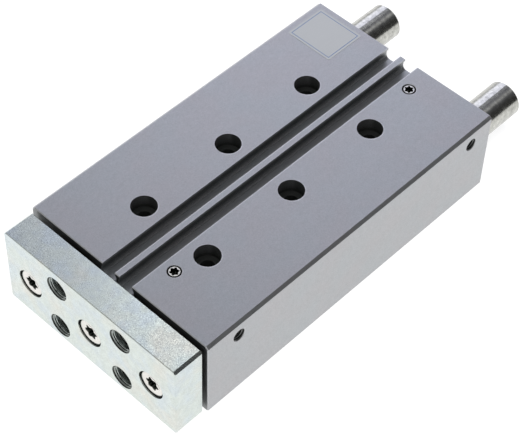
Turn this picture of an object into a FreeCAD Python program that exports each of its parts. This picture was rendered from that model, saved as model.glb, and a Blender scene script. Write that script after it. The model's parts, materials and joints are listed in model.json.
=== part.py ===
import FreeCAD, Part
import math
import os

# Guided pneumatic cylinder, in millimetres.
# +X is the way the yoke plate travels, +Y is the side with the air ports, +Z is up.
# The origin is on the base face, at the centre of the body's mounting holes.
# Left and right are as seen by someone who faces the yoke plate: right is +Y.
# A depth is measured from the housing's front face towards the rear.

# Main sizes
stroke = 100.0
bore_diameter = 20.0
piston_rod_diameter = 10.0
guide_rod_diameter = 14.0
axis_height = 16.35
housing_width = 83.0
housing_height = 35.2

# Clearances
running_gap = 0.05
free_gap = 0.3
thread_gap = 0.05
end_gap = 0.15

# Lengths along the cylinder bore
front_cap_depth = 11.7
rear_cap_depth = 8.3
piston_length = 13.0
buffer_length = 4.0

# Housing edges
top_edge_chamfer = 1.1
base_edge_chamfer = 0.5
end_edge_chamfer = 0.3

# Sensor slots in the top face
slot_opening = 5.9
slot_rib = 2.2
slot_depth = 5.1
slot_lip = 1.0
slot_slant = 1.2
slot_undercut = 0.65
slot_corner = 1.6

# Mounting holes through the body, with a thread from below
hole_rows = 3
hole_pitch_x = 40.0
hole_pitch_y = 30.0
first_hole_from_front = 26.3
hole_diameter = 5.3
hole_head_diameter = 9.4
hole_head_depth = 5.7
base_thread_diameter = 6.0
base_thread_depth = 12.0

# Air ports on the top and on the right side
port_diameter = 5.0
port_mouth_diameter = 5.3
port_from_cap = 2.4
port_wall = 2.85
top_port_y = 12.0
side_thread_depth = 6.0
side_channel_diameter = 3.5
air_channel_diameter = 3.0
air_channel_reach = 2.5
plug_length = 4.0
plug_sink = 0.4

# Seats for the two end caps of the bore
cap_seat_step = 1.0
ring_inset = 1.0
ring_thickness = 1.0
ring_width = 2.3
ring_bite = 0.55
ring_gap = 3.0
ring_lug_diameter = 4.0
ring_lug_hole = 2.0
ring_lug_spread = 25.0
o_ring_height = 1.3
o_ring_width = 1.9
o_ring_edge = 0.4
o_ring_side_room = 0.2
cap_edge = 0.4
rear_dish_margin = 4.0
rear_dish_depth = 1.0

# Rod seal and rod bush inside the bearing cap
seal_height = 3.0
seal_length = 3.4
seal_lip = 0.6
seal_hollow = 1.0
cap_lip = 0.8
rod_bush_wall = 1.0
rod_bush_length = 5.0
bush_edge = 0.4

# Guide bushes and wipers
bush_wall = 2.5
bush_length = 20.0
guide_wall = 3.0
guide_depth = 62.0
guide_rod_room = 1.0
rod_reserve = 6.2
wiper_inset = 0.5
wiper_length = 3.0
wiper_lip = 0.5
wiper_web = 1.3
wiper_hollow = 0.9

# Yoke plate
yoke_side_inset = 1.0
yoke_height = 34.0
yoke_thickness = 12.0
yoke_gap = 1.4
yoke_floor_gap = 0.1
yoke_end_chamfer = 1.0
yoke_edge_chamfer = 0.3
yoke_thread_diameter = 6.0
yoke_thread_pitch_y = 30.0
yoke_thread_pitch_z = 20.0
centring_diameter = 9.1
centring_depth = 2.1
rod_pocket_depth = 1.5

# Screws that hold the three rods to the yoke plate
screw_diameter = 6.0
screw_length = 18.0
screw_hole_diameter = 6.6
screw_head_diameter = 10.0
screw_head_height = 6.0
screw_head_room = 0.5
screw_head_sink = 0.5
screw_head_edge = 0.5
screw_tip_room = 3.0

# Rod ends
rod_front_edge = 0.5
guide_rod_rear_edge = 1.0

# Piston
piston_seal_height = 2.6
piston_seal_width = 2.6
piston_seal_offset = 1.6
piston_seal_lip = 0.6
magnet_width = 3.2
magnet_inner_diameter = 12.4
magnet_height = 2.2
spigot_diameter = 7.0
spigot_short = 0.3
buffer_height = 2.2
buffer_edge = 0.6
piston_screw_diameter = 5.0
piston_screw_length = 12.0
piston_screw_head_diameter = 8.6
piston_screw_head_height = 2.6
piston_screw_tip_room = 2.0

# Values worked out from the sizes above
bore_radius = bore_diameter / 2
piston_rod_radius = piston_rod_diameter / 2
guide_rod_radius = guide_rod_diameter / 2
housing_length = (front_cap_depth + rear_cap_depth + piston_length
                  + 2 * (buffer_length + end_gap) + stroke)
front_x = first_hole_from_front + hole_pitch_x * (hole_rows - 1) / 2
seat_radius = bore_radius + cap_seat_step
ring_radius = seat_radius + ring_bite
cap_face = ring_inset + ring_thickness
rear_cap_face = housing_length - rear_cap_depth
guide_bore_radius = guide_rod_radius + bush_wall
guide_pitch = housing_width - 2 * (guide_bore_radius + guide_wall)
side_port_height = axis_height + guide_bore_radius + port_wall
front_port_depth = front_cap_depth + port_from_cap
rear_port_depth = rear_cap_face - port_from_cap
rod_overhang = guide_depth + rod_reserve - (housing_length - stroke)
yoke_width = housing_width - 2 * yoke_side_inset
yoke_back = -yoke_gap
yoke_front = yoke_back - yoke_thickness
rod_front = yoke_back - rod_pocket_depth
screw_seat = yoke_front + screw_head_sink + screw_head_height
screw_tip = screw_seat + screw_length
piston_front = rear_cap_face - end_gap - buffer_length - piston_length
piston_rear = piston_front + piston_length
magnet_front = piston_front + (piston_length - magnet_width) / 2
magnet_rear = magnet_front + magnet_width
magnet_inner_radius = magnet_inner_diameter / 2
magnet_outer_radius = magnet_inner_radius + magnet_height
spigot_radius = spigot_diameter / 2
piston_radius = bore_radius - free_gap
piston_lip_radius = bore_radius - running_gap

ALONG_X = FreeCAD.Vector(1, 0, 0)
ALONG_Y = FreeCAD.Vector(0, 1, 0)
ALONG_Z = FreeCAD.Vector(0, 0, 1)
FULL_TURN = 360
# Cuts start and end this far outside the face that they break through.
CUT_PAST = 2.0


def place(depth, y, z):
    """Point at a depth behind the housing's front face."""
    return FreeCAD.Vector(front_x - depth, y, z)


def prism(outline, start, travel):
    """Closed outline of points, moved to start and pushed along travel."""
    corners = [start + corner for corner in outline]
    face = Part.Face(Part.makePolygon(corners + corners[:1]))
    return face.extrude(travel)


def turned(profile, y=0.0):
    """Solid of revolution about a rod axis, from (depth, radius) corners."""
    corners = [place(depth, y, axis_height + radius) for depth, radius in profile]
    face = Part.Face(Part.makePolygon(corners + corners[:1]))
    return face.revolve(place(0, y, axis_height), ALONG_X, FULL_TURN)


def rod_cut(radius, depth_from, depth_to, y=0.0):
    """Round cut along a rod axis between two depths."""
    return Part.makeCylinder(radius, depth_to - depth_from, place(depth_to, y, axis_height), ALONG_X)


def post(radius, low, high, depth, y):
    """Upright cylinder between two heights."""
    return Part.makeCylinder(radius, high - low, place(depth, y, low), ALONG_Z)


def chamfered_rectangle(width, height, low_chamfer, high_chamfer):
    """Corners of a rectangle on the origin with its four corners cut, as (across, up) pairs."""
    half_width = width / 2
    half_height = height / 2
    corners = []
    for across, up in ((-1, -1), (1, -1), (1, 1), (-1, 1)):
        chamfer = high_chamfer if up > 0 else low_chamfer
        along_side = (across * half_width, up * (half_height - chamfer))
        along_base = (across * (half_width - chamfer), up * half_height)
        pair = [along_side, along_base]
        corners += pair if across * up > 0 else pair[::-1]
    return corners


def eased_ring(depth_from, depth_to, inner, outer, edge):
    """Ring about the bore axis with its four edges cut."""
    profile = [
        (depth_from, inner + edge), (depth_from, outer - edge), (depth_from + edge, outer),
        (depth_to - edge, outer), (depth_to, outer - edge), (depth_to, inner + edge),
        (depth_to - edge, inner), (depth_from + edge, inner),
    ]
    return turned(profile)


# Housing
def housing_block():
    """Plain block of the housing with its outer edges broken."""
    outline = [FreeCAD.Vector(0, y, z)
               for y, z in chamfered_rectangle(housing_width, housing_height,
                                               base_edge_chamfer, top_edge_chamfer)]
    block = prism(outline, place(housing_length, 0, housing_height / 2), ALONG_X * housing_length)
    ends = (front_x, front_x - housing_length)
    end_edges = [edge for edge in block.Edges
                 if any(all(abs(v.X - end) < 1e-6 for v in edge.Vertexes) for end in ends)]
    return block.makeChamfer(end_edge_chamfer, end_edges)


def sensor_slot(side):
    """Cut of one undercut slot with a rounded floor, beside the middle rib."""
    centre = side * (slot_rib + slot_opening) / 2
    mouth = slot_opening / 2
    wall = mouth + slot_undercut
    floor = housing_height - slot_depth
    bend = slot_corner * (1 - math.sqrt(0.5))
    shoulder = housing_height - slot_lip - slot_slant

    def at(y, z):
        return place(housing_length + CUT_PAST, centre + y, z)

    runs = [
        Part.LineSegment(at(wall, floor + slot_corner), at(wall, shoulder)),
        Part.LineSegment(at(wall, shoulder), at(mouth, housing_height - slot_lip)),
        Part.LineSegment(at(mouth, housing_height - slot_lip), at(mouth, housing_height + CUT_PAST)),
        Part.LineSegment(at(mouth, housing_height + CUT_PAST), at(-mouth, housing_height + CUT_PAST)),
        Part.LineSegment(at(-mouth, housing_height + CUT_PAST), at(-mouth, housing_height - slot_lip)),
        Part.LineSegment(at(-mouth, housing_height - slot_lip), at(-wall, shoulder)),
        Part.LineSegment(at(-wall, shoulder), at(-wall, floor + slot_corner)),
        Part.Arc(at(-wall, floor + slot_corner), at(-wall + bend, floor + bend),
                 at(-wall + slot_corner, floor)),
        Part.LineSegment(at(-wall + slot_corner, floor), at(wall - slot_corner, floor)),
        Part.Arc(at(wall - slot_corner, floor), at(wall - bend, floor + bend),
                 at(wall, floor + slot_corner)),
    ]
    face = Part.Face(Part.Wire([run.toShape() for run in runs]))
    return face.extrude(ALONG_X * (housing_length + 2 * CUT_PAST))


def bore_cuts():
    """Cylinder bore, the two cap seats and the two retaining ring grooves."""
    cuts = [
        rod_cut(bore_radius, -CUT_PAST, housing_length + CUT_PAST),
        rod_cut(seat_radius, -CUT_PAST, front_cap_depth),
        rod_cut(seat_radius, rear_cap_face, housing_length + CUT_PAST),
    ]
    for ring_depth in (ring_inset, housing_length - cap_face):
        cuts.append(rod_cut(ring_radius, ring_depth - thread_gap, ring_depth + ring_thickness + thread_gap))
    return cuts


def guide_cuts(y):
    """Bore for the bushes of one guide rod, open behind them to let the rod through."""
    return [
        rod_cut(guide_bore_radius, -CUT_PAST, guide_depth, y),
        rod_cut(guide_rod_radius + guide_rod_room, -CUT_PAST, housing_length + CUT_PAST, y),
    ]


def mounting_hole(depth, y):
    """Screw hole with a head recess on top and a threaded bore below."""
    above = housing_height + CUT_PAST
    hole = post(hole_diameter / 2, -CUT_PAST, above, depth, y)
    head = post(hole_head_diameter / 2, housing_height - hole_head_depth, above, depth, y)
    thread = post(base_thread_diameter / 2, -CUT_PAST, base_thread_depth, depth, y)
    return hole.fuse([head, thread])


def port_cuts(depth):
    """Top port, side port and the slanted passage from them into the bore."""
    port_radius = port_diameter / 2
    mouth_radius = port_mouth_diameter / 2
    mouth_depth = mouth_radius - port_radius
    port_floor = side_port_height - side_channel_diameter / 2
    side = housing_width / 2
    inward = ALONG_Y * -1

    top = post(port_radius, port_floor, housing_height + CUT_PAST, depth, top_port_y)
    top_mouth = Part.makeCone(port_radius, mouth_radius, mouth_depth,
                              place(depth, top_port_y, housing_height - mouth_depth), ALONG_Z)
    thread = Part.makeCylinder(port_radius, side_thread_depth + CUT_PAST,
                               place(depth, side + CUT_PAST, side_port_height), inward)
    side_mouth = Part.makeCone(mouth_radius, port_radius, mouth_depth,
                               place(depth, side, side_port_height), inward)
    channel = Part.makeCylinder(side_channel_diameter / 2, side - top_port_y,
                                place(depth, side, side_port_height), inward)
    bottom = place(depth, top_port_y, side_port_height)
    to_bore = place(depth, 0, axis_height) - bottom
    slanted = Part.makeCylinder(air_channel_diameter / 2,
                                to_bore.Length - bore_radius + air_channel_reach, bottom, to_bore)
    return [top, top_mouth, thread, side_mouth, channel, slanted]


def make_housing():
    cuts = [sensor_slot(side) for side in (-1, 1)]
    cuts += bore_cuts()
    for side in (-1, 1):
        cuts += guide_cuts(side * guide_pitch / 2)
        for row in range(hole_rows):
            cuts.append(mounting_hole(first_hole_from_front + row * hole_pitch_x, side * hole_pitch_y / 2))
    for depth in (front_port_depth, rear_port_depth):
        cuts += port_cuts(depth)
    return housing_block().cut(cuts).removeSplitter()


def make_port_plug(depth):
    """Set screw that closes a top port."""
    top = housing_height - plug_sink
    plug = post(port_diameter / 2 - thread_gap, top - plug_length, top, depth, top_port_y)
    rim = [edge for edge in plug.Edges if isinstance(edge.Curve, Part.Circle)]
    return plug.makeChamfer(plug_sink, rim)


# End caps of the bore
def o_ring_span(cap_from, cap_to):
    """Depths between which the O-ring of a cap lies."""
    centre = (cap_from + cap_to) / 2
    return centre - o_ring_width / 2, centre + o_ring_width / 2


def make_o_ring(cap_from, cap_to):
    start, end = o_ring_span(cap_from, cap_to)
    return eased_ring(start, end, seat_radius - o_ring_height, seat_radius, o_ring_edge)


def o_ring_groove(cap_from, cap_to):
    start, end = o_ring_span(cap_from, cap_to)
    groove_from = start - o_ring_side_room
    groove_to = end + o_ring_side_room
    floor = seat_radius - o_ring_height
    outside = seat_radius + CUT_PAST
    return turned([(groove_from, floor), (groove_from, outside), (groove_to, outside), (groove_to, floor)])


def seal_span():
    """Depths between which the rod seal lies in the bearing cap."""
    start = cap_face + cap_lip
    return start, start + seal_length


def bearing_o_ring_zone():
    """Depths of the bearing cap behind its rod seal."""
    return seal_span()[1], front_cap_depth


def make_bearing_cap():
    seal_from, seal_to = seal_span()
    rod_room = piston_rod_radius + free_gap
    seal_seat = piston_rod_radius + seal_height
    bush_seat = piston_rod_radius + rod_bush_wall
    bush_from = front_cap_depth - rod_bush_length
    profile = [
        (cap_face, rod_room), (cap_face, seat_radius - cap_edge), (cap_face + cap_edge, seat_radius),
        (front_cap_depth, seat_radius), (front_cap_depth, bush_seat), (bush_from, bush_seat),
        (bush_from, rod_room), (seal_to, rod_room), (seal_to, seal_seat), (seal_from, seal_seat),
        (seal_from, rod_room),
    ]
    return turned(profile).cut(o_ring_groove(*bearing_o_ring_zone()))


def make_rod_seal():
    """Double lip ring: one lip wipes the rod, the other holds the pressure."""
    start, end = seal_span()
    outer = piston_rod_radius + seal_height
    lip = piston_rod_radius + running_gap
    hollow = piston_rod_radius + seal_hollow
    slope = hollow - lip
    profile = [
        (start, lip), (start, outer), (end, outer), (end, lip), (end - seal_lip, lip),
        (end - seal_lip - slope / 2, hollow), (start + seal_lip + slope / 2, hollow),
        (start + seal_lip, lip),
    ]
    return turned(profile)


def tube(start, end, inner, outer, edge, y=0.0):
    """Plain bush with broken edges in its bore."""
    profile = [(start, inner + edge), (start, outer), (end, outer), (end, inner + edge),
               (end - edge, inner), (start + edge, inner)]
    return turned(profile, y)


def make_rod_bush():
    return tube(front_cap_depth - rod_bush_length, front_cap_depth, piston_rod_radius + running_gap,
                piston_rod_radius + rod_bush_wall, bush_edge)


def make_rear_cover():
    outer_face = housing_length - cap_face
    dish_radius = seat_radius - rear_dish_margin
    profile = [
        (rear_cap_face, 0), (rear_cap_face, seat_radius), (outer_face - cap_edge, seat_radius),
        (outer_face, seat_radius - cap_edge), (outer_face, dish_radius),
        (outer_face - rear_dish_depth, dish_radius), (outer_face - rear_dish_depth, 0),
    ]
    return turned(profile).cut(o_ring_groove(rear_cap_face, outer_face))


def make_retaining_ring(depth):
    """Open spring ring with two lugs for the pliers."""
    end = depth + ring_thickness
    inner = ring_radius - ring_width
    ring = rod_cut(ring_radius, depth, end).cut(rod_cut(inner, depth - CUT_PAST, end + CUT_PAST))
    lug_circle = inner + ring_width / 2 - ring_lug_diameter / 2
    for side in (-1, 1):
        turn = math.radians(side * ring_lug_spread)
        y = lug_circle * math.sin(turn)
        z = axis_height - lug_circle * math.cos(turn)
        lug = Part.makeCylinder(ring_lug_diameter / 2, ring_thickness, place(end, y, z), ALONG_X)
        hole = Part.makeCylinder(ring_lug_hole / 2, ring_thickness + 2 * CUT_PAST,
                                 place(end + CUT_PAST, y, z), ALONG_X)
        ring = ring.fuse(lug).cut(hole)
    gap = Part.makeBox(ring_thickness + 2 * CUT_PAST, ring_gap, ring_radius + CUT_PAST,
                       place(end + CUT_PAST, -ring_gap / 2, axis_height - ring_radius - CUT_PAST))
    return ring.cut(gap).removeSplitter()


# Guide bushes and wipers
def make_guide_bush(start, y):
    return tube(start, start + bush_length, guide_rod_radius + running_gap, guide_bore_radius, bush_edge, y)


def make_wiper(y):
    """Ring in the mouth of a guide bore whose front lip wipes the rod."""
    start = wiper_inset
    end = wiper_inset + wiper_length
    lip = guide_rod_radius + running_gap
    hollow = guide_rod_radius + wiper_hollow
    profile = [
        (start, lip), (start, guide_bore_radius), (end, guide_bore_radius), (end, hollow),
        (start + wiper_web, hollow), (start + wiper_lip, lip),
    ]
    return turned(profile, y)


# Yoke plate and rods
def yoke_block():
    """Plate with wide chamfers above and below its two ends and narrow ones on its other edges."""
    centre = place((yoke_front + yoke_back) / 2, 0, yoke_floor_gap + yoke_height / 2)
    side = prism([FreeCAD.Vector(x, -yoke_width / 2, z)
                  for x, z in chamfered_rectangle(yoke_thickness, yoke_height,
                                                  yoke_edge_chamfer, yoke_edge_chamfer)],
                 centre, ALONG_Y * yoke_width)
    front = prism([FreeCAD.Vector(-yoke_thickness / 2, y, z)
                   for y, z in chamfered_rectangle(yoke_width, yoke_height,
                                                   yoke_end_chamfer, yoke_end_chamfer)],
                  centre, ALONG_X * yoke_thickness)
    top = prism([FreeCAD.Vector(x, y, -yoke_height / 2)
                 for x, y in chamfered_rectangle(yoke_thickness, yoke_width,
                                                 yoke_edge_chamfer, yoke_edge_chamfer)],
                centre, ALONG_Z * yoke_height)
    return side.common(front).common(top)


def yoke_thread(y, z):
    """Threaded hole through the plate with a centring recess in front."""
    hole = Part.makeCylinder(yoke_thread_diameter / 2, yoke_thickness + 2 * CUT_PAST,
                             place(yoke_back + CUT_PAST, y, z), ALONG_X)
    recess = Part.makeCylinder(centring_diameter / 2, centring_depth + CUT_PAST,
                               place(yoke_front + centring_depth, y, z), ALONG_X)
    return hole.fuse(recess)


def make_yoke_plate():
    cuts = []
    head_room = screw_head_diameter / 2 + screw_head_room
    for y, rod_radius in ((-guide_pitch / 2, guide_rod_radius), (0, piston_rod_radius),
                          (guide_pitch / 2, guide_rod_radius)):
        cuts.append(rod_cut(head_room, yoke_front - CUT_PAST, screw_seat, y))
        cuts.append(rod_cut(screw_hole_diameter / 2, yoke_front - CUT_PAST, yoke_back + CUT_PAST, y))
        cuts.append(rod_cut(rod_radius, rod_front, yoke_back + CUT_PAST, y))
    for side in (-1, 1):
        for level in (-1, 1):
            cuts.append(yoke_thread(side * yoke_thread_pitch_y / 2,
                                    axis_height + level * yoke_thread_pitch_z / 2))
    return yoke_block().cut(cuts).removeSplitter()


def make_yoke_screw(y):
    head_radius = screw_head_diameter / 2
    head_top = screw_seat - screw_head_height
    shank = screw_diameter / 2
    profile = [
        (head_top, 0), (head_top, head_radius - screw_head_edge), (head_top + screw_head_edge, head_radius),
        (screw_seat, head_radius), (screw_seat, shank), (screw_tip - screw_head_edge, shank),
        (screw_tip, shank - screw_head_edge), (screw_tip, 0),
    ]
    return turned(profile, y)


def tapped_front(y):
    """Threaded hole in the front end of a rod."""
    return rod_cut(screw_diameter / 2 + thread_gap, rod_front - CUT_PAST, screw_tip + screw_tip_room, y)


def make_guide_rod(y):
    end = housing_length + rod_overhang
    profile = [
        (rod_front, 0), (rod_front, guide_rod_radius - rod_front_edge),
        (rod_front + rod_front_edge, guide_rod_radius), (end - guide_rod_rear_edge, guide_rod_radius),
        (end, guide_rod_radius - guide_rod_rear_edge), (end, 0),
    ]
    return turned(profile, y).cut(tapped_front(y))


def make_piston_rod():
    end = piston_rear - spigot_short
    profile = [
        (rod_front, 0), (rod_front, piston_rod_radius - rod_front_edge),
        (rod_front + rod_front_edge, piston_rod_radius), (piston_front, piston_rod_radius),
        (piston_front, spigot_radius), (end, spigot_radius), (end, 0),
    ]
    tapped_rear = rod_cut(piston_screw_diameter / 2 + thread_gap,
                          piston_rear - piston_screw_length - piston_screw_tip_room, end + CUT_PAST)
    return turned(profile).cut([tapped_front(0), tapped_rear])


# Piston
def seal_groove(start):
    """Cut for one piston seal that starts at a depth."""
    end = start + piston_seal_width
    floor = bore_radius - piston_seal_height
    return turned([(start, floor), (start, bore_radius), (end, bore_radius), (end, floor)])


def front_seal_start():
    return piston_front + piston_seal_offset


def rear_seal_start():
    return piston_rear - piston_seal_offset - piston_seal_width


def make_piston_front_half():
    half = turned([(piston_front, spigot_radius), (piston_front, piston_radius),
                   (magnet_front, piston_radius), (magnet_front, spigot_radius)])
    return half.cut(seal_groove(front_seal_start()))


def make_piston_rear_half():
    half = turned([
        (magnet_front, spigot_radius), (magnet_front, magnet_inner_radius),
        (magnet_rear, magnet_inner_radius), (magnet_rear, piston_radius),
        (piston_rear, piston_radius), (piston_rear, spigot_radius),
    ])
    return half.cut(seal_groove(rear_seal_start()))


def make_piston_seal(open_end, closed_end):
    """Cup ring whose lips open towards the pressure."""
    floor = bore_radius - piston_seal_height
    lip = piston_lip_radius
    inward = math.copysign(1.0, closed_end - open_end)
    hollow_end = (open_end + closed_end) / 2
    profile = [
        (closed_end, floor), (open_end, floor), (open_end, floor + piston_seal_lip),
        (hollow_end, (floor + lip) / 2), (open_end, lip - piston_seal_lip), (open_end, lip),
        (open_end + inward * piston_seal_lip, lip), (closed_end, lip - piston_seal_lip),
    ]
    return turned(profile)


def make_ring(start, end, inner, outer):
    return turned([(start, inner), (start, outer), (end, outer), (end, inner)])


def make_front_buffer():
    return eased_ring(piston_front - buffer_length, piston_front, piston_rod_radius,
                      piston_rod_radius + buffer_height, buffer_edge)


def make_rear_buffer():
    inner = piston_screw_head_diameter / 2 + free_gap
    return eased_ring(piston_rear, piston_rear + buffer_length, inner, inner + buffer_height, buffer_edge)


def make_piston_screw():
    head_radius = piston_screw_head_diameter / 2
    head_top = piston_rear + piston_screw_head_height
    shank = piston_screw_diameter / 2
    tip = piston_rear - piston_screw_length
    profile = [
        (tip, 0), (tip, shank), (piston_rear, shank), (piston_rear, head_radius),
        (head_top - screw_head_edge, head_radius), (head_top, head_radius - screw_head_edge), (head_top, 0),
    ]
    return turned(profile)


def make_parts():
    left = -guide_pitch / 2
    right = guide_pitch / 2
    front_bush_start = wiper_inset + wiper_length
    rear_bush_start = guide_depth - bush_length
    rear_cover_face = housing_length - cap_face
    front_seal = front_seal_start()
    rear_seal = rear_seal_start()
    parts = {
        "housing": make_housing(),
        "front_port_plug": make_port_plug(front_port_depth),
        "rear_port_plug": make_port_plug(rear_port_depth),
        "bearing_cap": make_bearing_cap(),
        "bearing_cap_o_ring": make_o_ring(*bearing_o_ring_zone()),
        "rod_seal": make_rod_seal(),
        "rod_bush": make_rod_bush(),
        "front_retaining_ring": make_retaining_ring(ring_inset),
        "rear_cover": make_rear_cover(),
        "rear_cover_o_ring": make_o_ring(rear_cap_face, rear_cover_face),
        "rear_retaining_ring": make_retaining_ring(rear_cover_face),
        "yoke_plate": make_yoke_plate(),
        "centre_yoke_screw": make_yoke_screw(0),
        "piston_rod": make_piston_rod(),
        "piston_front_half": make_piston_front_half(),
        "piston_rear_half": make_piston_rear_half(),
        "piston_magnet": make_ring(magnet_front, magnet_rear, magnet_inner_radius, magnet_outer_radius),
        "piston_wear_ring": make_ring(magnet_front, magnet_rear, magnet_outer_radius, piston_lip_radius),
        "piston_front_seal": make_piston_seal(front_seal, front_seal + piston_seal_width),
        "piston_rear_seal": make_piston_seal(rear_seal + piston_seal_width, rear_seal),
        "front_buffer": make_front_buffer(),
        "rear_buffer": make_rear_buffer(),
        "piston_screw": make_piston_screw(),
    }
    for side, y in (("left", left), ("right", right)):
        parts[side + "_wiper"] = make_wiper(y)
        parts[side + "_front_bush"] = make_guide_bush(front_bush_start, y)
        parts[side + "_rear_bush"] = make_guide_bush(rear_bush_start, y)
        parts[side + "_guide_rod"] = make_guide_rod(y)
        parts[side + "_yoke_screw"] = make_yoke_screw(y)
    return parts


os.makedirs("parts", exist_ok=True)
for node, shape in make_parts().items():
    shape.exportStep("parts/" + node + ".step")
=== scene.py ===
import json
import math
from functools import partial

import bmesh
import bpy
from mathutils import Matrix, Vector


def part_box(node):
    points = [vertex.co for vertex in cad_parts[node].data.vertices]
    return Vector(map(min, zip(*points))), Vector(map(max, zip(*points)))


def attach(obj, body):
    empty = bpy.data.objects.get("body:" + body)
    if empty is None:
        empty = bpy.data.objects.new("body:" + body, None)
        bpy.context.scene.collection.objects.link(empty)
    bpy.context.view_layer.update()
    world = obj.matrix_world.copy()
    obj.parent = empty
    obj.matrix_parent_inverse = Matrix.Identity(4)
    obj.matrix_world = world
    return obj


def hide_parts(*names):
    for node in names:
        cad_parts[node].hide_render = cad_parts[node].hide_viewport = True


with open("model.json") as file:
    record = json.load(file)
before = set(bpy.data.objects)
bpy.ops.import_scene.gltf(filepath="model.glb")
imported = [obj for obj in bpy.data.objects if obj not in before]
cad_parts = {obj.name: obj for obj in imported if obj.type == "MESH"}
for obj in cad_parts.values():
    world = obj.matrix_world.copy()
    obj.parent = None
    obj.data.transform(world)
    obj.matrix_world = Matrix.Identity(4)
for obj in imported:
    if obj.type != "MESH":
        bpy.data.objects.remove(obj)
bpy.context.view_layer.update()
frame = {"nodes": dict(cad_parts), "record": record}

bl_info = {
    "name": "Guided Cylinder Finish",
    "version": (1, 0, 0),
    "blender": (4, 5, 0),
    "location": "3D View > Sidebar > Cylinder",
    "description": "Finishes, small fasteners, threads and studio of a guided pneumatic cylinder",
    "category": "Object",
}

MOUNTS = {mount["name"]: mount for mount in frame["record"]["mounts"]}
NODES = frame["nodes"]

BODY = "cylinder_body"
CARRIAGE = "carriage"
YOKE_SCREWS = ("left_yoke_screw", "centre_yoke_screw", "right_yoke_screw")
PORT_PLUGS = ("front_port_plug", "rear_port_plug")

MM = 0.001
FULL_TURN = 2 * math.pi
QUARTER_TURN = math.pi / 2
SHARP_ANGLE = math.radians(40)
LOBES = 6
# Marks on meshes: thread crests that get a painted highlight, and places that get painted shade
CREST_GLINT = "crest"
SHADE_MARK = "soil"


# Properties
def number_property(name, description, default, **limits):
    """Setting of one number."""
    return bpy.props.FloatProperty(name=name, description=description, default=default, **limits)


def vector_property(name, description, default, **limits):
    """Setting of three numbers."""
    return bpy.props.FloatVectorProperty(name=name, description=description, default=default, **limits)


def length_property(name, description, millimetres):
    """Setting of a length."""
    return number_property(name, description, millimetres * MM, min=0.0, precision=5, unit="LENGTH")


def angle_property(name, description, degrees):
    """Setting of an angle."""
    return number_property(name, description, math.radians(degrees), subtype="ANGLE")


factor_property = partial(number_property, min=0.0, max=1.0, subtype="FACTOR")
light_property = partial(vector_property, min=0.0)
colour_property = partial(vector_property, min=0.0, max=1.0, subtype="COLOR")


class CylinderFinishes(bpy.types.PropertyGroup):
    """Colours and roughness of the metals, rubbers and plastics."""

    anodised: colour_property("Anodised", "Satin anodised aluminium of the housing", (0.455, 0.454, 0.466))
    anodised_cool: colour_property("Anodised cool", "Bluer patches of the anodised skin", (0.445, 0.461, 0.475))
    anodised_roughness: factor_property("Anodised roughness", "Mean roughness of the anodised skin", 0.4)
    plating: colour_property("Plating", "Zinc plating of the yoke plate", (0.635, 0.69, 0.655))
    plating_blue: colour_property("Plating blue", "Bluish passivation stains", (0.605, 0.67, 0.685))
    plating_straw: colour_property("Plating straw", "Straw coloured passivation stains", (0.67, 0.675, 0.62))
    plating_roughness: factor_property("Plating roughness", "Mean roughness of the zinc plating", 0.22)
    chrome: colour_property("Chrome", "Ground and chromed rods", (0.50, 0.50, 0.465))
    chrome_roughness: factor_property("Chrome roughness", "Mean roughness of the chromed rods", 0.26)
    steel: colour_property("Steel", "Bright plated screws", (0.78, 0.76, 0.72))
    steel_roughness: factor_property("Steel roughness", "Mean roughness of the screws", 0.24)
    aluminium: colour_property("Turned aluminium", "Caps and piston halves", (0.66, 0.66, 0.67))
    bronze: colour_property("Bronze", "Guide bushes and rod bush", (0.58, 0.40, 0.20))
    spring: colour_property("Spring steel", "Phosphated retaining rings", (0.10, 0.10, 0.105))
    rubber: colour_property("Rubber", "Wipers and buffers", (0.022, 0.022, 0.023))
    seal: colour_property("Seal", "Seals and O-rings", (0.035, 0.037, 0.042))
    ferrite: colour_property("Ferrite", "Ring magnet of the piston", (0.10, 0.10, 0.11))
    plastic: colour_property("Wear plastic", "Wear ring of the piston", (0.62, 0.58, 0.48))
    # Light tone of the painted highlight along edges that face the bright sweep
    edge_highlight: colour_property("Rubbed", "Bare metal of rubbed edges", (0.92, 0.92, 0.93))
    foil: colour_property("Foil", "Bare foil of the label", (0.505, 0.515, 0.49))
    # Dark tone of the painted shade in recesses, slots, thread mouths and narrow gaps between parts
    shade_tone: colour_property("Grime", "Dark film in recesses, slots and threads", (0.04, 0.045, 0.038))
    ink: colour_property("Ink", "Printed frame on the label", (0.12, 0.20, 0.36))


class CylinderFasteners(bpy.types.PropertyGroup):
    """Sizes of the screw recesses and threads."""

    recess_width: length_property("Recess width", "Across the lobes of a yoke screw's recess", 5.5)
    recess_waist: length_property("Recess waist", "Between the lobes of a yoke screw's recess", 3.9)
    recess_depth: length_property("Recess depth", "Depth of a yoke screw's recess", 2.9)
    head_height: length_property("Head height", "Height of a yoke screw's head", 6.0)
    shank_diameter: length_property("Shank diameter", "Diameter of a yoke screw's shank", 6.0)
    plug_recess_width: length_property("Plug recess width", "Across the lobes of a plug's recess", 3.3)
    plug_recess_waist: length_property("Plug recess waist", "Between the lobes of a plug's recess", 2.35)
    plug_recess_depth: length_property("Plug recess depth", "Depth of a plug's recess", 1.8)
    plug_sink: length_property("Plug sink", "From the housing's top down to a plug's top", 0.1)
    centring_diameter: length_property("Centring diameter", "Diameter of the yoke's centring recesses", 9.1)
    coarse_pitch: length_property("Coarse pitch", "Pitch of the 6 mm threads", 1.0)
    recess_pitch: length_property("Recess pitch", "Pitch of the turns in the centring recesses", 0.7)
    fine_pitch: length_property("Fine pitch", "Pitch of the 5 mm threads", 0.8)
    turn_seed: bpy.props.IntProperty(name="Turn seed", description="Seed of the screws' final turns", default=7)


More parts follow.
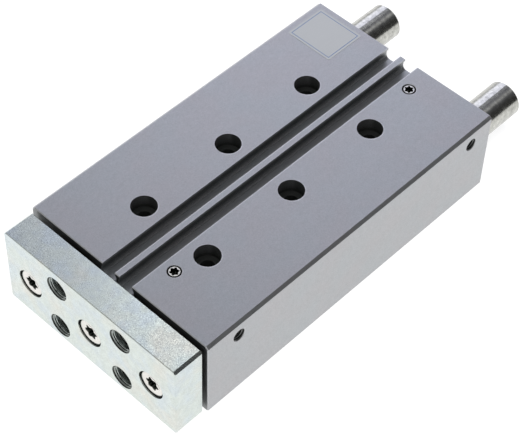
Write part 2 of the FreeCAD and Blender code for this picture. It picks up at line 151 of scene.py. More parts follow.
class CylinderLabel(bpy.types.PropertyGroup):
    """Size and place of the bare foil label on top of the housing."""

    length: length_property("Length", "Along the housing", 17.8)
    width: length_property("Width", "Across the housing", 20.2)
    thickness: length_property("Thickness", "Thickness of the foil", 0.06)
    corner: length_property("Corner", "Radius of the foil's corners", 0.8)
    from_rear: length_property("From rear", "Gap to the housing's rear face", 2.5)
    from_side: length_property("From side", "Gap to the housing's left side", 3.3)
    frame_inset: length_property("Frame inset", "From the edge to the printed frame", 1.0)
    frame_line: length_property("Frame line", "Width of the printed frame", 0.25)


class CylinderStudio(bpy.types.PropertyGroup):
    """Camera, lamp and surroundings."""

    azimuth: angle_property("Azimuth", "Turn of the camera about the upright", 132.273)
    elevation: angle_property("Elevation", "Height angle of the camera", 49.946)
    roll: angle_property("Roll", "Turn of the camera about its view", 2.091)
    distance: length_property("Distance", "From the camera to its aim", 594.11)
    aim: vector_property("Aim", "Point in the middle of the view", (0.00521, 0.0063, 0.01765),
                         subtype="TRANSLATION", precision=5)
    lens: number_property("Lens", "Focal length", 118.47, unit="CAMERA")
    surround: factor_property("Surround", "Brightness of the studio walls", 0.05)
    sweep: factor_property("Sweep", "Brightness of the white sweep behind the left side", 0.6)
    front: factor_property("Front", "Brightness of the screen before the yoke", 0.48)
    fill: light_property("Fill", "Colour of the dim screens", (0.226, 0.230, 0.272))
    screen: light_property("Screen", "Colour of the bright screen at the rear", (1.09, 1.11, 1.33))
    key: light_property("Key", "Colour of the small lit panels overhead", (2.0, 2.05, 2.05))
    lamp_power: number_property("Lamp power", "Power of the soft lamp", 11.0, unit="POWER")
    floor_grey: factor_property("Floor grey", "Paleness of the floor", 0.8)


# Node helpers
def feed(tree, socket, value):
    """Link an output to a socket, or set the socket's own value. A colour of three numbers is opaque."""
    if isinstance(value, bpy.types.NodeSocket):
        tree.links.new(value, socket)
    elif socket.type == "RGBA" and len(value) == 3:
        socket.default_value = (*value, 1.0)
    else:
        socket.default_value = value


def add_node(tree, kind, inputs=None, **settings):
    """New node with its settings made and its inputs fed."""
    node = tree.nodes.new(kind)
    for name, value in settings.items():
        setattr(node, name, value)
    for key, value in (inputs or {}).items():
        feed(tree, node.inputs[key], value)
    return node


def result(tree, kind, inputs=None, **settings):
    """First output of a new node."""
    return add_node(tree, kind, inputs, **settings).outputs[0]


def calc(tree, operation, first, second=0.0, third=0.0, clamp=False):
    """Output of a Math node."""
    return result(tree, "ShaderNodeMath", {0: first, 1: second, 2: third}, operation=operation, use_clamp=clamp)


def vector_calc(tree, operation, first, second=(0.0, 0.0, 0.0)):
    """Vector output of a Vector Math node."""
    return result(tree, "ShaderNodeVectorMath", {0: first, 1: second}, operation=operation)


def cosine_between(tree, first, second):
    """Cosine of the angle between two directions."""
    return add_node(tree, "ShaderNodeVectorMath", {0: first, 1: second}, operation="DOT_PRODUCT").outputs["Value"]


def axis_of(tree, vector, axis):
    """One axis of a vector."""
    return add_node(tree, "ShaderNodeSeparateXYZ", {"Vector": vector}).outputs[axis]


def object_place(tree):
    """Place on the piece itself."""
    return add_node(tree, "ShaderNodeTexCoord").outputs["Object"]


def surface_normal(tree):
    """Normal of the surface."""
    return add_node(tree, "ShaderNodeNewGeometry").outputs["Normal"]


def spread(tree, value, low, high, start=0.0, end=1.0, smooth=False):
    """A value between start and end, carried over to lie between low and high."""
    return result(tree, "ShaderNodeMapRange",
                  {"Value": value, "From Min": start, "From Max": end, "To Min": low, "To Max": high},
                  interpolation_type="SMOOTHSTEP" if smooth else "LINEAR")


def mix_colours(tree, share, first, second, blend="MIX"):
    """Colour output of a Mix node."""
    return add_node(tree, "ShaderNodeMix", {0: share, 6: first, 7: second}, data_type="RGBA",
                    blend_type=blend).outputs[2]


def alike(number):
    """The same number for all three colours or axes."""
    return (number, number, number)


def bare_tree(owner):
    """Emptied node tree of a material or a world."""
    owner.use_nodes = True
    owner.node_tree.nodes.clear()
    return owner.node_tree


def new_group(kind, name, inputs, outputs):
    """Empty node group with named sockets, and its two end nodes."""
    tree = bpy.data.node_groups.new(name, kind)
    for direction, sockets in (("INPUT", inputs), ("OUTPUT", outputs)):
        for socket_name, socket_type in sockets.items():
            tree.interface.new_socket(socket_name, in_out=direction, socket_type="NodeSocket" + socket_type)
    return tree, tree.nodes.new("NodeGroupInput"), tree.nodes.new("NodeGroupOutput")


# Shared surface effects
def surface_noise_group():
    """Noise with its own number of cells to the metre along each axis."""
    tree, start, end = new_group("ShaderNodeTree", "Surface Noise", {"Cells": "Vector", "Detail": "Float"},
                                 {"Value": "Float"})
    cells = vector_calc(tree, "MULTIPLY", object_place(tree), start.outputs["Cells"])
    noise = result(tree, "ShaderNodeTexNoise", {"Vector": cells, "Scale": 1.0, "Detail": start.outputs["Detail"]})
    feed(tree, end.inputs["Value"], noise)
    return tree


def turning_lines_group():
    """Fine rings left by a lathe about an axis along X."""
    tree, start, end = new_group("ShaderNodeTree", "Turning Lines", {"Axis": "Vector", "Spacing": "Float"},
                                 {"Value": "Float"})
    offset = vector_calc(tree, "SUBTRACT", object_place(tree), start.outputs["Axis"])
    axes = add_node(tree, "ShaderNodeSeparateXYZ", {"Vector": offset}).outputs
    radius = calc(tree, "SQRT", calc(tree, "ADD", calc(tree, "POWER", axes["Y"], 2.0),
                                     calc(tree, "POWER", axes["Z"], 2.0)))
    reach = calc(tree, "ADD", radius, axes["X"])
    noise = result(tree, "ShaderNodeTexNoise",
                   {"W": calc(tree, "DIVIDE", reach, start.outputs["Spacing"]), "Scale": 1.0, "Detail": 2.0},
                   noise_dimensions="1D")
    feed(tree, end.inputs["Value"], noise)
    return tree


def cavity_group():
    """How closely a point is shut in by the walls of its own piece, or by those of every piece."""
    tree, start, end = new_group("ShaderNodeTree", "Cavity", {"Reach": "Float"},
                                 {"Own Walls": "Float", "All Walls": "Float"})
    for name, own in (("Own Walls", True), ("All Walls", False)):
        around = add_node(tree, "ShaderNodeAmbientOcclusion", {"Distance": start.outputs["Reach"]},
                          only_local=own, samples=8)
        feed(tree, end.inputs[name], calc(tree, "SUBTRACT", 1.0, around.outputs["AO"]))
    return tree


def edge_highlight_group():
    """Painted highlight along edges, where the rounded normal turns away from the true one. Edges that look left,
    towards the bright sweep, get the most.
    """
    tree, start, end = new_group("ShaderNodeTree", "Edge Highlight", {"Width": "Float"}, {"Mask": "Float"})
    full_glint = 0.75
    no_glint = 0.97
    other_share = 0.3
    looks_left = -0.35
    looks_up = -0.1
    rounded = result(tree, "ShaderNodeBevel", {"Radius": start.outputs["Width"]}, samples=4)
    turned = cosine_between(tree, rounded, surface_normal(tree))
    glint = spread(tree, turned, 1.0, 0.0, full_glint, no_glint)
    share = spread(tree, axis_of(tree, rounded, "Y"), 1.0, other_share, looks_left, looks_up)
    feed(tree, end.inputs["Mask"], calc(tree, "MULTIPLY", glint, share))
    return tree


EFFECTS = {
    "Surface Noise": surface_noise_group,
    "Turning Lines": turning_lines_group,
    "Cavity": cavity_group,
    "Edge Highlight": edge_highlight_group,
}


def effect(tree, name, output, **inputs):
    """An output of a shared effect, whose group is built the first time that it is asked for."""
    shared = bpy.data.node_groups.get(name) or EFFECTS[name]()
    group = add_node(tree, "ShaderNodeGroup", node_tree=shared)
    for key, value in inputs.items():
        group.inputs[key].default_value = value
    return group.outputs[output]


def noise_value(tree, cells, detail=2.0):
    """Noise with a number of cells to the metre along each axis."""
    return effect(tree, "Surface Noise", "Value", Cells=cells, Detail=detail)


def grain_value(tree, size, detail=2.0):
    """Noise of one grain size in every direction."""
    return noise_value(tree, alike(1 / size), detail)


# Materials
def new_material(name, metallic):
    """Material with one Principled shader, its tree and that shader."""
    material = bpy.data.materials.new(name)
    tree = bare_tree(material)
    shader = add_node(tree, "ShaderNodeBsdfPrincipled", {"Metallic": metallic})
    add_node(tree, "ShaderNodeOutputMaterial", {"Surface": shader.outputs["BSDF"]})
    return material, tree, shader


def roughen(tree, shader, value, middle, swing):
    """Let a value between 0 and 1 move the roughness about its middle."""
    feed(tree, shader.inputs["Roughness"], spread(tree, value, middle - swing, middle + swing))


def emboss(tree, shader, height, depth, strength):
    """Bump of a given depth."""
    bump = result(tree, "ShaderNodeBump", {"Height": height, "Distance": depth, "Strength": strength})
    feed(tree, shader.inputs["Normal"], bump)


def shade(tree, colour, value, low, high):
    """A colour made darker and lighter by a value between 0 and 1."""
    return mix_colours(tree, 1.0, colour, spread(tree, value, low, high), "MULTIPLY")


def cavity_shade(tree, reach, share, full=0.6, walls="Own Walls"):
    """Painted shade where walls shut a point in, with its whole share where full is reached."""
    unshaded = 0.15
    return spread(tree, effect(tree, "Cavity", walls, Reach=reach), 0.0, share, unshaded, full)


def lit_floors(tree, lowest, left):
    """Share of the painted shade that stays: less on level floors, where light falls, down to a lowest height."""
    tilted = 0.97
    flat = 0.998
    high_enough = calc(tree, "GREATER_THAN", axis_of(tree, object_place(tree), "Z"), lowest)
    level = calc(tree, "MULTIPLY", axis_of(tree, surface_normal(tree), "Z"), high_enough)
    return spread(tree, level, 1.0, left, tilted, flat)


def lighter_sides(tree, reach, left):
    """Share of the painted shade that stays: less farther than a reach from the middle."""
    fade = 1 * MM
    across = calc(tree, "ABSOLUTE", axis_of(tree, object_place(tree), "Y"))
    return spread(tree, across, 1.0, left, reach, reach + fade)


def paint_marked_shade(tree, colour, painted_shade, share):
    """A colour darkened by painted shade where a mesh is marked for it."""
    soil = add_node(tree, "ShaderNodeAttribute", attribute_name=SHADE_MARK).outputs["Fac"]
    return mix_colours(tree, calc(tree, "MULTIPLY", soil, share), colour, painted_shade)


def shade_facing(tree, colour, painted_shade, share, towards):
    """A colour darkened by painted shade on faces that look forward, with towards at 1, or to the rear, at -1, where
    they face another part across a gap.
    """
    askew = 0.8
    straight = 0.95
    facing = calc(tree, "MULTIPLY", axis_of(tree, surface_normal(tree), "X"), towards)
    return mix_colours(tree, spread(tree, facing, 0.0, share, askew, straight), colour, painted_shade)


def paint_crest_highlights(tree, colour, bare, share):
    """A colour lightened towards a bare tone on the marked part of a thread's crests: a painted highlight."""
    flank = 0.3
    top = 0.8
    crest = add_node(tree, "ShaderNodeAttribute", attribute_name=CREST_GLINT).outputs["Fac"]
    return mix_colours(tree, spread(tree, crest, 0.0, share, flank, top), colour, bare)


def paint_edge_highlights(tree, colour, bare, width, share):
    """A colour lightened towards a bare tone by a painted highlight along edges."""
    edge_highlight = calc(tree, "MULTIPLY", effect(tree, "Edge Highlight", "Mask", Width=width), share)
    return mix_colours(tree, edge_highlight, colour, bare)


def anodised_material(finish):
    """Satin anodised aluminium: matt grain, bluish patches, faint drawing lines, a painted highlight on edges and
    thread crests, and painted shade in cavities, on the front face and at thread mouths.
    """
    material, tree, shader = new_material("anodised_aluminium", metallic=0.92)
    patches = spread(tree, grain_value(tree, 14 * MM), 0.0, 1.0, 0.35, 0.65)
    mottle = grain_value(tree, 2.2 * MM)
    grain = grain_value(tree, 0.35 * MM, detail=3.0)
    lines = noise_value(tree, (12.0, 900.0, 900.0))
    colour = mix_colours(tree, patches, finish.anodised, finish.anodised_cool)
    for value, low, high in ((grain, 0.74, 1.26), (mottle, 0.94, 1.06), (lines, 0.98, 1.02)):
        colour = shade(tree, colour, value, low, high)
    # Painted highlight along edges, then painted shade on the front face behind the yoke
    colour = paint_edge_highlights(tree, colour, finish.edge_highlight, width=0.9 * MM, share=0.9)
    colour = shade_facing(tree, colour, finish.shade_tone, share=0.55, towards=1.0)
    # Painted shade in slots and holes, lighter on slot floors and towards the sides
    slot_floor = MOUNTS["left_sensor_slot"]["pos_m"][2]
    painted_shade = calc(tree, "MULTIPLY", cavity_shade(tree, reach=6 * MM, share=0.97, full=0.4),
                lit_floors(tree, lowest=slot_floor - 0.2 * MM, left=0.2))
    painted_shade = calc(tree, "MULTIPLY", painted_shade, lighter_sides(tree, reach=8.5 * MM, left=0.9))
    colour = mix_colours(tree, painted_shade, colour, finish.shade_tone)
    # Painted highlight on thread crests and painted shade at thread mouths
    colour = paint_crest_highlights(tree, colour, finish.aluminium, share=0.6)
    colour = paint_marked_shade(tree, colour, finish.shade_tone, share=0.75)
    feed(tree, shader.inputs["Base Color"], colour)
    swing = 0.08
    dulled = 0.55
    satin = spread(tree, grain, finish.anodised_roughness - swing, finish.anodised_roughness + swing)
    feed(tree, shader.inputs["Roughness"], calc(tree, "MULTIPLY_ADD", painted_shade, dulled, satin))
    emboss(tree, shader, grain, depth=0.02 * MM, strength=0.25)
    return material


def plated_material(finish):
    """Passivated zinc: crystals, stains of blue and straw, faint grinding lines, painted shade on the rear face, in
    cavities and at thread mouths, and a painted highlight on thread crests.
    """
    material, tree, shader = new_material("plated_steel", metallic=0.95)
    straw = spread(tree, grain_value(tree, 13 * MM, detail=4.0), 0.0, 1.0, 0.5, 0.68)
    blue = spread(tree, grain_value(tree, 6 * MM, detail=3.0), 1.0, 0.0, 0.36, 0.56)
    crystals = spread(tree, grain_value(tree, 0.5 * MM, detail=3.0), 0.0, 1.0, 0.3, 0.7)
    clouds = grain_value(tree, 2.4 * MM)
    lines = noise_value(tree, (1500.0, 60.0, 60.0))
    colour = mix_colours(tree, blue, finish.plating, finish.plating_blue)
    colour = mix_colours(tree, straw, colour, finish.plating_straw)
    colour = shade(tree, colour, crystals, 0.94, 1.06)
    colour = shade(tree, colour, clouds, 0.86, 1.14)
    # Painted shade on the rear face, which looks at the housing across a gap, and in cavities
    colour = shade_facing(tree, colour, finish.shade_tone, share=0.75, towards=-1.0)
    colour = mix_colours(tree, cavity_shade(tree, reach=6 * MM, share=0.97), colour, finish.shade_tone)
    # Painted highlight on thread crests and painted shade at thread mouths
    colour = paint_crest_highlights(tree, colour, finish.plating, share=0.75)
    colour = paint_marked_shade(tree, colour, finish.shade_tone, share=0.95)
    feed(tree, shader.inputs["Base Color"], colour)
    roughen(tree, shader, crystals, finish.plating_roughness, swing=0.07)
    emboss(tree, shader, calc(tree, "ADD", crystals, lines), depth=0.006 * MM, strength=0.25)
    return material


def chrome_material(finish):
    """Ground and chromed rod: fine lines round it and a few duller bands."""
    material, tree, shader = new_material("hard_chrome", metallic=1.0)
    lines = noise_value(tree, (5000.0, 25.0, 25.0))
    bands = noise_value(tree, (160.0, 90.0, 90.0))
    blotches = grain_value(tree, 1.6 * MM, detail=4.0)
    colour = shade(tree, finish.chrome, bands, 0.9, 1.08)
    feed(tree, shader.inputs["Base Color"], shade(tree, colour, blotches, 0.45, 1.5))
    roughen(tree, shader, calc(tree, "MULTIPLY", lines, bands), finish.chrome_roughness, swing=0.1)
    emboss(tree, shader, lines, depth=0.006 * MM, strength=0.25)
    return material


def steel_material(finish):
    """Bright plated screws: small stains, handling marks, and painted shade in their recesses and where other pieces
    shut them in.
    """
    material, tree, shader = new_material("bright_steel", metallic=1.0)
    stains = grain_value(tree, 1.6 * MM, detail=3.0)
    marks = grain_value(tree, 0.25 * MM)
    colour = shade(tree, finish.steel, stains, 0.86, 1.08)
    # Painted shade where walls of any piece shut a point in, as round a head in its counterbore
    painted_shade = cavity_shade(tree, reach=8 * MM, share=0.97, walls="All Walls")
    colour = mix_colours(tree, painted_shade, colour, finish.shade_tone)
    colour = paint_marked_shade(tree, colour, finish.shade_tone, share=0.97)
    feed(tree, shader.inputs["Base Color"], colour)
    roughen(tree, shader, stains, finish.steel_roughness, swing=0.1)
    emboss(tree, shader, marks, depth=0.008 * MM, strength=0.2)
    return material


def turned_material(name, colour, roughness, axis_height):
    """Metal turned about the bore's axis."""
    material, tree, shader = new_material(name, metallic=1.0)
    rings = effect(tree, "Turning Lines", "Value", Axis=(0.0, 0.0, axis_height), Spacing=0.18 * MM)
    stains = grain_value(tree, 3 * MM)
    feed(tree, shader.inputs["Base Color"], shade(tree, colour, stains, 0.9, 1.06))
    roughen(tree, shader, rings, roughness, swing=0.08)
    emboss(tree, shader, rings, depth=0.01 * MM, strength=0.4)
    return material


def moulded_material(name, colour, roughness, grain_size):
    """Rubber, plastic or bonded powder with a fine moulded grain."""
    material, tree, shader = new_material(name, metallic=0.0)
    grain = grain_value(tree, grain_size, detail=3.0)
    bloom = grain_value(tree, 5 * MM)
    feed(tree, shader.inputs["Base Color"], shade(tree, colour, bloom, 0.75, 1.3))
    roughen(tree, shader, bloom, roughness, swing=0.1)
    emboss(tree, shader, grain, depth=0.02 * MM, strength=0.3)
    return material


def spring_material(finish):
    """Dark phosphated spring steel."""
    material, tree, shader = new_material("spring_steel", metallic=0.7)
    grain = grain_value(tree, 0.4 * MM, detail=3.0)
    feed(tree, shader.inputs["Base Color"], shade(tree, finish.spring, grain, 0.7, 1.4))
    roughen(tree, shader, grain, 0.45, swing=0.1)
    emboss(tree, shader, grain, depth=0.01 * MM, strength=0.3)
    return material


def finish_materials(finish, axis_height):
    """Every finish of the record, by the name of its slot."""
    return {
        "anodised_aluminium": anodised_material(finish),
        "plated_steel": plated_material(finish),
        "hard_chrome": chrome_material(finish),
        "bright_steel": steel_material(finish),
        "turned_aluminium": turned_material("turned_aluminium", finish.aluminium, 0.3, axis_height),
        "bearing_bronze": turned_material("bearing_bronze", finish.bronze, 0.34, axis_height),
        "spring_steel": spring_material(finish),
        "black_rubber": moulded_material("black_rubber", finish.rubber, 0.55, 0.3 * MM),
        "seal_rubber": moulded_material("seal_rubber", finish.seal, 0.42, 0.3 * MM),
        "magnet_ferrite": moulded_material("magnet_ferrite", finish.ferrite, 0.6, 0.15 * MM),
        "wear_plastic": moulded_material("wear_plastic", finish.plastic, 0.5, 0.4 * MM),
    }


def foil_material(finish, label, low, high):
    """Satin foil with fine rolling lines and a plain printed frame."""
    material, tree, shader = new_material("label_foil", metallic=0.85)
    lines = noise_value(tree, (30.0, 3000.0, 30.0))
    offset = vector_calc(tree, "SUBTRACT", object_place(tree), (low + high) / 2)
    away = vector_calc(tree, "ABSOLUTE", offset)
    half = (high - low) / 2 - Vector((label.frame_inset, label.frame_inset, 0.0))
    outside = calc(tree, "MAXIMUM", calc(tree, "SUBTRACT", axis_of(tree, away, "X"), half.x),
                   calc(tree, "SUBTRACT", axis_of(tree, away, "Y"), half.y))
    printed = calc(tree, "LESS_THAN", calc(tree, "ABSOLUTE", outside), label.frame_line / 2)
    foil = shade(tree, finish.foil, lines, 0.95, 1.05)
    feed(tree, shader.inputs["Base Color"], mix_colours(tree, printed, foil, finish.ink))
    roughen(tree, shader, lines, 0.36, swing=0.06)
    emboss(tree, shader, lines, depth=0.004 * MM, strength=0.3)
    return material


# Meshes
def link_mesh(name, mesh):
    """Object at the origin that shows a mesh."""
    made = bpy.data.objects.new(name, mesh)
    bpy.context.scene.collection.objects.link(made)
    return made


def finished_mesh(name, work):
    """Mesh of what was worked on, with its faces turned outward."""
    bmesh.ops.recalc_face_normals(work, faces=work.faces)
    mesh = bpy.data.meshes.new(name)
    work.to_mesh(mesh)
    work.free()
    return mesh


def lathe_mesh(name, rings):
    """Closed mesh about the Z axis from (height, radius at an angle, share of painted shade) rings, with a pole at
    each end.

    Each ring, with a pole beside it, is marked with its share of painted shade.
    """
    around = 72
    work = bmesh.new()
    soil = work.verts.layers.float.new(SHADE_MARK)
    angles = [FULL_TURN * step / around for step in range(around)]
    loops = []
    for height, radius, share in rings:
        loops.append([work.verts.new((radius(angle) * math.cos(angle), radius(angle) * math.sin(angle), height))
                      for angle in angles])
        for vert in loops[-1]:
            vert[soil] = share
    for lower, upper in zip(loops, loops[1:]):
        for step in range(around):
            following = (step + 1) % around
            work.faces.new((lower[step], lower[following], upper[following], upper[step]))
    for loop in (loops[0], loops[-1]):
        pole = work.verts.new((0.0, 0.0, loop[0].co.z))
        pole[soil] = loop[0][soil]
        for step in range(around):
            work.faces.new((loop[step], loop[(step + 1) % around], pole))
    return finished_mesh(name, work)


def circle(radius):
    """The same radius at every angle."""
    return lambda angle: radius


def lobed(width, waist, extra=0.0):
    """Radius of a six-lobe recess at an angle."""
    middle = (width + waist) / 4
    swing = (width - waist) / 4
    return lambda angle: middle + extra + swing * math.cos(LOBES * angle)


# Geometry Nodes
def thread_sleeve(tree, hole_radius, length, pitch):
    """One threaded sleeve: a one metre grid, bent round into a helix with a hidden wall behind it."""
    around = 40
    steps_to_pitch = 7
    end_rows = 3.0
    hidden_wall = 0.12 * MM
    skin = 0.02 * MM
    depth_to_pitch = 0.54
    fade_to_pitch = 0.6
    root = 0.06
    crest = 0.44
    glint_share = 0.55
    shaded_pitches = (0.4, 1.6)
    maths = partial(calc, tree)

    rows = maths("CEIL", maths("MULTIPLY", steps_to_pitch, maths("DIVIDE", length, pitch)))
    rows = maths("ADD", rows, end_rows)
    sleeve = result(tree, "GeometryNodeMeshGrid",
                    {"Size X": 1.0, "Size Y": 1.0, "Vertices X": around + 1, "Vertices Y": maths("ADD", rows, 1.0)})
    position = result(tree, "GeometryNodeInputPosition")
    turns = maths("ADD", axis_of(tree, position, "X"), 0.5)
    row = maths("ROUND", maths("MULTIPLY", maths("ADD", axis_of(tree, position, "Y"), 0.5), rows))
    along = maths("DIVIDE", maths("SUBTRACT", row, 1.0), maths("SUBTRACT", rows, end_rows), clamp=True)
    before_last = maths("LESS_THAN", row, maths("SUBTRACT", rows, 0.5))
    height = maths("MULTIPLY", maths("MULTIPLY", along, length), before_last)

    fade_length = maths("MULTIPLY", pitch, fade_to_pitch)
    fade_in = maths("DIVIDE", height, fade_length, clamp=True)
    fade_out = maths("DIVIDE", maths("SUBTRACT", length, height), fade_length, clamp=True)
    climbed = maths("DIVIDE", height, pitch)
    phase = maths("SUBTRACT", climbed, turns)
    flank = spread(tree, maths("PINGPONG", phase, 0.5), 0.0, 1.0, root, crest)
    # Painted highlight: crests marked on part of each turn, for the material to lighten
    glint = maths("MULTIPLY", flank, maths("LESS_THAN", maths("FRACT", phase), glint_share))
    # Painted shade: the first turns by the mouth are marked, for the material to darken
    shaded_mouth = spread(tree, climbed, 1.0, 0.0, *shaded_pitches)
    ridge = maths("MULTIPLY", maths("MULTIPLY", flank, pitch), depth_to_pitch)
    ridge = maths("MULTIPLY", ridge, maths("MULTIPLY", fade_in, fade_out))
    threaded = maths("SUBTRACT", maths("SUBTRACT", hole_radius, skin), ridge)

    first_row = maths("LESS_THAN", row, 0.5)
    last_rows = maths("GREATER_THAN", row, maths("SUBTRACT", rows, 1.5))
    outer = maths("MAXIMUM", first_row, last_rows)
    radius = spread(tree, outer, threaded, maths("ADD", hole_radius, hidden_wall))
    angle = maths("MULTIPLY", turns, FULL_TURN)
    for name, value in ((CREST_GLINT, glint), (SHADE_MARK, shaded_mouth)):
        sleeve = result(tree, "GeometryNodeStoreNamedAttribute", {"Geometry": sleeve, "Name": name, "Value": value},
                        data_type="FLOAT", domain="POINT")
    point = result(tree, "ShaderNodeCombineXYZ",
                   {"X": maths("MULTIPLY", radius, maths("COSINE", angle)),
                    "Y": maths("MULTIPLY", radius, maths("SINE", angle)), "Z": height})
    sleeve = result(tree, "GeometryNodeSetPosition", {"Geometry": sleeve, "Position": point})
    return result(tree, "GeometryNodeMergeByDistance", {"Geometry": sleeve, "Distance": 0.001 * MM})


def thread_tree():
    """Threaded sleeves on a grid of holes."""
    tree, start, end = new_group(
        "GeometryNodeTree", "Threaded Holes",
        {"Hole Radius": "Float", "Length": "Float", "Pitch": "Float", "Columns": "Int", "Rows": "Int",
         "Column Spacing": "Float", "Row Spacing": "Float", "Place": "Vector", "Turn": "Rotation",
         "Material": "Material"},
        {"Geometry": "Geometry"})
    given = start.outputs
    sleeve = thread_sleeve(tree, given["Hole Radius"], given["Length"], given["Pitch"])
    width = calc(tree, "MULTIPLY", given["Column Spacing"], calc(tree, "SUBTRACT", given["Columns"], 1.0))
    depth = calc(tree, "MULTIPLY", given["Row Spacing"], calc(tree, "SUBTRACT", given["Rows"], 1.0))
    holes = result(tree, "GeometryNodeMeshGrid",
                   {"Size X": width, "Size Y": depth, "Vertices X": given["Columns"], "Vertices Y": given["Rows"]})
    copies = result(tree, "GeometryNodeInstanceOnPoints", {"Points": holes, "Instance": sleeve})
    finish_copies(tree, copies, given, end)
    return tree


def finish_copies(tree, copies, given, end):
    """Put copies in their place as plain faces with a material."""
    placed = result(tree, "GeometryNodeTransform",
                    {"Geometry": copies, "Translation": given["Place"], "Rotation": given["Turn"]})
    real = result(tree, "GeometryNodeRealizeInstances", {"Geometry": placed})
    dressed = result(tree, "GeometryNodeSetMaterial", {"Geometry": real, "Material": given["Material"]})
    feed(tree, end.inputs["Geometry"], dressed)


def row_tree():
    """A row of copies of one fastener, each tightened to its own angle."""
    tree, start, end = new_group(
        "GeometryNodeTree", "Fastener Row",
        {"Fastener": "Object", "Count": "Int", "Step": "Vector", "Place": "Vector", "Turn": "Rotation",
         "Seed": "Int", "Material": "Material"},
        {"Geometry": "Geometry"})
    given = start.outputs
    line = result(tree, "GeometryNodeMeshLine", {"Count": given["Count"], "Offset": given["Step"]})
    fastener = add_node(tree, "GeometryNodeObjectInfo", {"Object": given["Fastener"]})
    tightened = add_node(tree, "FunctionNodeRandomValue", {2: 0.0, 3: FULL_TURN, "Seed": given["Seed"]},
                         data_type="FLOAT")
    angles = result(tree, "ShaderNodeCombineXYZ", {"Z": tightened.outputs[1]})
    copies = result(tree, "GeometryNodeInstanceOnPoints",
                    {"Points": line, "Instance": fastener.outputs["Geometry"], "Rotation": angles})
    finish_copies(tree, copies, given, end)
    return tree


def grown_piece(name, tree, values):
    """Object whose plain mesh, smooth but for sharp edges, is what a tree makes from named inputs."""
    seed = link_mesh(name + "_seed", bpy.data.meshes.new(name + "_seed"))
    modifier = seed.modifiers.new("Nodes", "NODES")
    modifier.node_group = tree
    for socket in tree.interface.items_tree:
        if socket.in_out == "INPUT":
            modifier[socket.identifier] = values[socket.name]
    depsgraph = bpy.context.evaluated_depsgraph_get()
    mesh = bpy.data.meshes.new_from_object(seed.evaluated_get(depsgraph), depsgraph=depsgraph)
    bpy.data.objects.remove(seed)
    if not mesh.polygons:
        raise RuntimeError("the node tree made no faces for " + name)
    mesh.name = name
    mesh.polygons.foreach_set("use_smooth", [True] * len(mesh.polygons))
    mesh.set_sharp_from_angle(angle=SHARP_ANGLE)
    return link_mesh(name, mesh)


def finish_of(node):
    """Material that a solid wears."""
    return NODES[node].material_slots[0].material


def settle(piece, body, slot, *replaced):
    """Hand a finished piece to its body and hide the solids that it stands for. The slot is not used."""
    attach(piece, body)
    if replaced:
        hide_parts(*replaced)


def fastener_row(name, rings, nodes, body, values):
    """A row of one fastener, made from rings, that stands for its solids."""
    pattern = link_mesh(name + "_pattern", lathe_mesh(name + "_pattern", rings))
    piece = grown_piece(name, row_tree(), {
        "Fastener": pattern, "Count": len(nodes), "Material": finish_of(nodes[0]), **values,
    })
    bpy.data.objects.remove(pattern)
    settle(piece, body, "bright_steel", *nodes)


